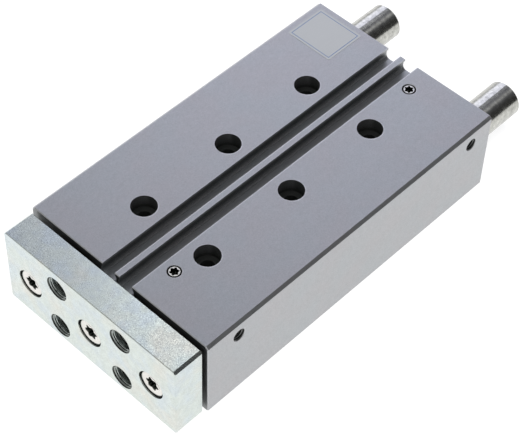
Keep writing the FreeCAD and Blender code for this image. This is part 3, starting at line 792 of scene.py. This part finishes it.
# Operators
class CYLINDER_OT_studio(bpy.types.Operator):
    """Build the floor, the surroundings, the lamp and the camera"""

    bl_idname = "cylinder.studio"
    bl_label = "Studio"

    def execute(self, context):
        studio = context.scene.cylinder_studio
        self.add_floor(studio)
        self.add_surround(context.scene, studio)
        self.add_lamp(context.scene, studio)
        self.add_camera(context.scene, studio)
        context.scene.view_settings.view_transform = "Standard"
        return {"FINISHED"}

    def add_floor(self, studio):
        """Round pale floor that reads as white, keeps a faint shadow and is clear from below."""
        floor_radius = 3.0
        floor_drop = 0.1 * MM
        shadow_share = 0.33
        seen_glow = 0.84
        work = bmesh.new()
        bmesh.ops.create_circle(work, cap_ends=True, segments=96, radius=floor_radius,
                                matrix=Matrix.Translation((0.0, 0.0, -floor_drop)))
        mesh = bpy.data.meshes.new("floor")
        work.to_mesh(mesh)
        work.free()
        floor = link_mesh("floor", mesh)

        material = bpy.data.materials.new("floor")
        tree = bare_tree(material)
        lit = result(tree, "ShaderNodeBsdfDiffuse", {"Color": alike(studio.floor_grey)})
        faint = result(tree, "ShaderNodeBsdfDiffuse", {"Color": alike(shadow_share)})
        glow = result(tree, "ShaderNodeEmission", {"Strength": seen_glow})
        seen = result(tree, "ShaderNodeAddShader", {0: faint, 1: glow})
        rays = add_node(tree, "ShaderNodeLightPath").outputs
        direct = calc(tree, "MAXIMUM", rays["Is Camera Ray"],
                      calc(tree, "MAXIMUM", rays["Is Glossy Ray"], rays["Is Transmission Ray"]))
        above = result(tree, "ShaderNodeMixShader", {0: direct, 1: lit, 2: seen})
        below = result(tree, "ShaderNodeBsdfTransparent")
        back = add_node(tree, "ShaderNodeNewGeometry").outputs["Backfacing"]
        surface = result(tree, "ShaderNodeMixShader", {0: back, 1: above, 2: below})
        add_node(tree, "ShaderNodeOutputMaterial", {"Surface": surface})
        mesh.materials.append(material)

    def add_surround(self, scene, studio):
        """Dim studio with a sweep, screens and small panels, and a dark right side."""
        sweep = alike(studio.sweep)
        front = alike(studio.front)
        # Direction, colour, and the angles in degrees at which a patch starts to fade and has gone
        patches = (
            ((-0.20, -0.97, 0.05), sweep, 10.0, 50.0),
            ((-0.80, -0.30, 0.30), studio.fill, 16.0, 66.0),
            ((0.75, 0.05, 0.45), front, 20.0, 75.0),
            ((0.15, -0.05, 0.99), studio.fill, 6.0, 14.0),
            ((-0.48, 0.25, 0.84), sweep, 2.0, 13.0),
            ((-0.72, -0.63, 0.54), studio.screen, 13.5, 22.0),
            ((-0.44, -0.44, 0.85), studio.key, 0.0, 5.0),
            ((-0.48, -0.22, 0.85), studio.key, 0.0, 5.0),
            ((-0.37, -0.54, 0.76), studio.fill, 0.0, 5.0),
        )
        world = bpy.data.worlds.new("studio")
        scene.world = world
        tree = bare_tree(world)
        direction = add_node(tree, "ShaderNodeTexCoord").outputs["Generated"]
        level = alike(studio.surround)
        for towards, colour, inner, outer in patches:
            share = spread(tree, cosine_between(tree, direction, Vector(towards).normalized()), 0.0, 1.0,
                           math.cos(math.radians(outer)), math.cos(math.radians(inner)), smooth=True)
            patch = result(tree, "ShaderNodeVectorMath", {0: colour, "Scale": share}, operation="SCALE")
            level = vector_calc(tree, "ADD", patch, level)
        walls = result(tree, "ShaderNodeBackground", {"Color": level})
        backdrop = result(tree, "ShaderNodeBackground", {"Color": alike(1.0)})
        seen = add_node(tree, "ShaderNodeLightPath").outputs["Is Camera Ray"]
        surface = result(tree, "ShaderNodeMixShader", {0: seen, 1: walls, 2: backdrop})
        add_node(tree, "ShaderNodeOutputWorld", {"Surface": surface})

    def add_lamp(self, scene, studio):
        """Soft lamp high above the housing, for what isn't metal: the metals mirror the surroundings."""
        place = Vector((0.20, 0.35, 1.35))
        light = bpy.data.lights.new("soft_lamp", "AREA")
        light.shape = "DISK"
        light.size = 0.5
        light.energy = studio.lamp_power
        lamp = bpy.data.objects.new("soft_lamp", light)
        lamp.matrix_world = Matrix.Translation(place) @ place.to_track_quat("Z", "Y").to_matrix().to_4x4()
        lamp.visible_glossy = False
        scene.collection.objects.link(lamp)

    def add_camera(self, scene, studio):
        """Camera at the photograph's angle."""
        lens = bpy.data.cameras.new("camera")
        lens.lens = studio.lens
        camera = bpy.data.objects.new("camera", lens)
        turn = (Matrix.Rotation(studio.azimuth, 4, "Z") @ Matrix.Rotation(QUARTER_TURN - studio.elevation, 4, "X")
                @ Matrix.Rotation(studio.roll, 4, "Z"))
        camera.matrix_world = Matrix.Translation(studio.aim) @ turn @ Matrix.Translation((0.0, 0.0, studio.distance))
        scene.collection.objects.link(camera)
        scene.camera = camera


class CYLINDER_OT_finishes(bpy.types.Operator):
    """Give every solid the finish that its slot names"""

    bl_idname = "cylinder.finishes"
    bl_label = "Finishes"

    def execute(self, context):
        low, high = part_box("piston_rod")
        materials = finish_materials(context.scene.cylinder_finishes, (low.z + high.z) / 2)
        for row in frame["record"]["subparts"]:
            for slot in NODES[row["node"]].material_slots:
                slot.material = materials[row["material_slot"]]
        return {"FINISHED"}


class CYLINDER_OT_yoke_screws(bpy.types.Operator):
    """Build the three screws of the yoke plate with their six-lobe recesses"""

    bl_idname = "cylinder.yoke_screws"
    bl_label = "Yoke Screws"

    def execute(self, context):
        sizes = context.scene.cylinder_fasteners
        boxes = [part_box(name) for name in YOKE_SCREWS]
        low, high = boxes[0]
        middle = (low + high) / 2
        spacing = boxes[1][0].y - low.y
        rings = self.screw(sizes, (high.y - low.y) / 2, high.x - low.x)
        fastener_row("yoke_screws", rings, YOKE_SCREWS, CARRIAGE, {
            "Step": (0.0, spacing, 0.0), "Place": (high.x, middle.y, middle.z),
            "Turn": (0.0, QUARTER_TURN, 0.0), "Seed": sizes.turn_seed,
        })
        return {"FINISHED"}

    def screw(self, sizes, head_radius, length):
        """Rings of one screw, its head's top at height 0."""
        rim = 0.45 * MM
        dish = 0.12 * MM
        cone = 0.5 * MM
        taper = 0.3 * MM
        lead_in = 0.2 * MM
        lead_depth = 0.35 * MM
        dish_edge = 0.75 * MM
        dish_end = 1.0 * MM
        width = sizes.recess_width
        waist = sizes.recess_waist
        floor = -sizes.recess_depth
        seat = -sizes.head_height
        shank = sizes.shank_diameter / 2
        # The third number of each ring is its share of painted shade: full in the recess
        return [
            (floor - cone, circle(0.3 * waist), 1.0),
            (floor, lobed(width, waist, -taper), 1.0),
            (-lead_depth, lobed(width, waist), 1.0),
            (-dish, lobed(width, waist, lead_in), 0.0),
            (-dish, circle(width / 2 + dish_edge), 0.0),
            (0.0, circle(width / 2 + dish_end), 0.0),
            (0.0, circle(head_radius - rim), 0.0),
            (-0.3 * rim, circle(head_radius - 0.3 * rim), 0.0),
            (-rim, circle(head_radius), 0.0),
            (seat + 0.5 * rim, circle(head_radius), 0.0),
            (seat, circle(head_radius - 0.5 * rim), 0.0),
            (seat, circle(shank), 0.0),
            (rim - length, circle(shank), 0.0),
            (-length, circle(shank - rim), 0.0),
        ]


class CYLINDER_OT_port_plugs(bpy.types.Operator):
    """Build the two set screws that close the top ports"""

    bl_idname = "cylinder.port_plugs"
    bl_label = "Port Plugs"

    def execute(self, context):
        sizes = context.scene.cylinder_fasteners
        boxes = [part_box(name) for name in PORT_PLUGS]
        low, high = boxes[0]
        middle = (low + high) / 2
        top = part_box("housing")[1].z - sizes.plug_sink
        rings = self.plug(sizes, (high.x - low.x) / 2, top - low.z)
        fastener_row("port_plugs", rings, PORT_PLUGS, BODY, {
            "Step": boxes[1][0] - low, "Place": (middle.x, middle.y, top),
            "Turn": (0.0, 0.0, 0.0), "Seed": sizes.turn_seed,
        })
        return {"FINISHED"}

    def plug(self, sizes, radius, length):
        """Rings of one set screw, its top at height 0."""
        edge = 0.45 * MM
        shade_edge = 0.08 * MM
        cone = 0.4 * MM
        taper = 0.2 * MM
        lead_in = 0.12 * MM
        lead_depth = 0.2 * MM
        width = sizes.plug_recess_width
        waist = sizes.plug_recess_waist
        floor = -sizes.plug_recess_depth
        # The third number of each ring is its share of painted shade: in the recess and as a dark ring round the
        # edge
        return [
            (floor - cone, circle(0.3 * waist), 0.7),
            (floor, lobed(width, waist, -taper), 1.0),
            (-lead_depth, lobed(width, waist), 1.0),
            (0.0, lobed(width, waist, lead_in), 0.2),
            (0.0, circle(radius - edge - shade_edge), 0.2),
            (0.0, circle(radius - edge), 1.0),
            (-edge, circle(radius), 1.0),
            (edge - length, circle(radius), 1.0),
            (-length, circle(radius - edge), 1.0),
        ]


class CYLINDER_OT_threads(bpy.types.Operator):
    """Build the turns of the threads in the base, the yoke plate and the side ports"""

    bl_idname = "cylinder.threads"
    bl_label = "Threads"

    def execute(self, context):
        sizes = context.scene.cylinder_fasteners
        tree = thread_tree()
        self.base_threads(tree, sizes.coarse_pitch)
        self.yoke_threads(tree, sizes)
        self.side_port_threads(tree, sizes.fine_pitch)
        return {"FINISHED"}

    def base_threads(self, tree, pitch):
        """Six threads in the underside of the housing."""
        thread_length = 12 * MM
        columns = 3
        outer = MOUNTS["base_threads_outer"]
        dims = outer["dims"]
        piece = grown_piece("base_threads", tree, {
            "Hole Radius": dims["hole_r_mm"] * MM, "Length": thread_length, "Pitch": pitch,
            "Columns": columns, "Rows": 2, "Column Spacing": dims["spacing_x_mm"] * MM / (columns - 1),
            "Row Spacing": dims["spacing_y_mm"] * MM, "Place": outer["pos_m"],
            "Turn": (0.0, 0.0, 0.0), "Material": finish_of("housing"),
        })
        settle(piece, BODY, "anodised_aluminium")

    def yoke_threads(self, tree, sizes):
        """Four threads through the yoke plate and the turns in the centring recesses before them."""
        dims = MOUNTS["yoke_threads"]["dims"]
        seat = MOUNTS["yoke_threads"]["pos_m"]
        face = (MOUNTS["yoke_face"]["pos_m"][0], seat[1], seat[2])
        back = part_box("yoke_plate")[0].x
        for name, place, radius, length, pitch in (
                ("yoke_threads", seat, dims["hole_r_mm"] * MM, seat[0] - back, sizes.coarse_pitch),
                ("yoke_recess_turns", face, sizes.centring_diameter / 2, face[0] - seat[0], sizes.recess_pitch)):
            piece = grown_piece(name, tree, {
                "Hole Radius": radius, "Length": length, "Pitch": pitch,
                "Columns": 2, "Rows": 2, "Column Spacing": dims["spacing_y_mm"] * MM,
                "Row Spacing": dims["spacing_x_mm"] * MM, "Place": place,
                "Turn": (0.0, -QUARTER_TURN, 0.0), "Material": finish_of("yoke_plate"),
            })
            settle(piece, CARRIAGE, "plated_steel")

    def side_port_threads(self, tree, pitch):
        """Two threads in the ports of the right side."""
        front = MOUNTS["front_side_port"]
        rear = MOUNTS["rear_side_port"]
        dims = front["dims"]
        spacing = front["pos_m"][0] - rear["pos_m"][0]
        sink = 0.15 * MM
        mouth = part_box("housing")[1].y - sink
        piece = grown_piece("side_port_threads", tree, {
            "Hole Radius": dims["r_mm"] * MM, "Length": dims["length_mm"] * MM, "Pitch": pitch,
            "Columns": 2, "Rows": 1, "Column Spacing": spacing, "Row Spacing": 0.0,
            "Place": ((front["pos_m"][0] + rear["pos_m"][0]) / 2, mouth, front["pos_m"][2]),
            "Turn": (QUARTER_TURN, 0.0, 0.0), "Material": finish_of("housing"),
        })
        settle(piece, BODY, "anodised_aluminium")


class CYLINDER_OT_label(bpy.types.Operator):
    """Build the bare foil label on top of the housing"""

    bl_idname = "cylinder.label"
    bl_label = "Label"

    def execute(self, context):
        label = context.scene.cylinder_label
        low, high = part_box("housing")
        near = Vector((low.x + label.from_rear, low.y + label.from_side, high.z))
        far = near + Vector((label.length, label.width, label.thickness))
        piece = link_mesh("label", self.foil(label, near, far))
        piece.data.materials.append(foil_material(context.scene.cylinder_finishes, label, near, far))
        settle(piece, BODY, "plated_steel")
        return {"FINISHED"}

    def foil(self, label, near, far):
        """Thin plate with round corners and a softened upper edge."""
        corner_steps = 6
        inset = Vector((label.corner, label.corner, 0.0))
        low = near + inset
        high = far - inset
        work = bmesh.new()
        outline = []
        for quarter, (x, y) in enumerate(((high.x, high.y), (low.x, high.y), (low.x, low.y), (high.x, low.y))):
            for step in range(corner_steps + 1):
                angle = QUARTER_TURN * (quarter + step / corner_steps)
                outline.append((x + label.corner * math.cos(angle), y + label.corner * math.sin(angle), near.z))
        base = work.faces.new([work.verts.new(point) for point in outline])
        lifted = bmesh.ops.extrude_face_region(work, geom=[base])["geom"]
        top = [item for item in lifted if isinstance(item, bmesh.types.BMVert)]
        bmesh.ops.translate(work, vec=(0.0, 0.0, far.z - near.z), verts=top)
        rim = [edge for edge in work.edges if all(vert in top for vert in edge.verts)]
        bmesh.ops.bevel(work, geom=rim, offset=label.thickness / 3, segments=2, affect="EDGES")
        return finished_mesh("label", work)


class CYLINDER_PT_panel(bpy.types.Panel):
    """Sidebar list of the cylinder's steps and settings"""

    bl_label = "Guided Cylinder"
    bl_idname = "CYLINDER_PT_panel"
    bl_space_type = "VIEW_3D"
    bl_region_type = "UI"
    bl_category = "Cylinder"

    def draw(self, context):
        for step in STEPS:
            self.layout.operator(step.bl_idname)
        for name in SETTINGS:
            box = self.layout.box()
            group = getattr(context.scene, name)
            for key in group.bl_rna.properties.keys():
                if key not in {"rna_type", "name"}:
                    box.prop(group, key)


SETTINGS = {
    "cylinder_finishes": CylinderFinishes,
    "cylinder_fasteners": CylinderFasteners,
    "cylinder_label": CylinderLabel,
    "cylinder_studio": CylinderStudio,
}
STEPS = (
    CYLINDER_OT_studio,
    CYLINDER_OT_finishes,
    CYLINDER_OT_yoke_screws,
    CYLINDER_OT_port_plugs,
    CYLINDER_OT_threads,
    CYLINDER_OT_label,
)
CLASSES = (*SETTINGS.values(), *STEPS, CYLINDER_PT_panel)


def register():
    for cls in CLASSES:
        bpy.utils.register_class(cls)
    for name, group in SETTINGS.items():
        setattr(bpy.types.Scene, name, bpy.props.PointerProperty(type=group))


def unregister():
    for name in SETTINGS:
        delattr(bpy.types.Scene, name)
    for cls in reversed(CLASSES):
        bpy.utils.unregister_class(cls)


def main():
    register()
    bpy.ops.cylinder.studio()
    bpy.ops.cylinder.finishes()
    bpy.ops.cylinder.yoke_screws()
    bpy.ops.cylinder.port_plugs()
    bpy.ops.cylinder.threads()
    bpy.ops.cylinder.label()


if __name__ == "__main__":
    main()
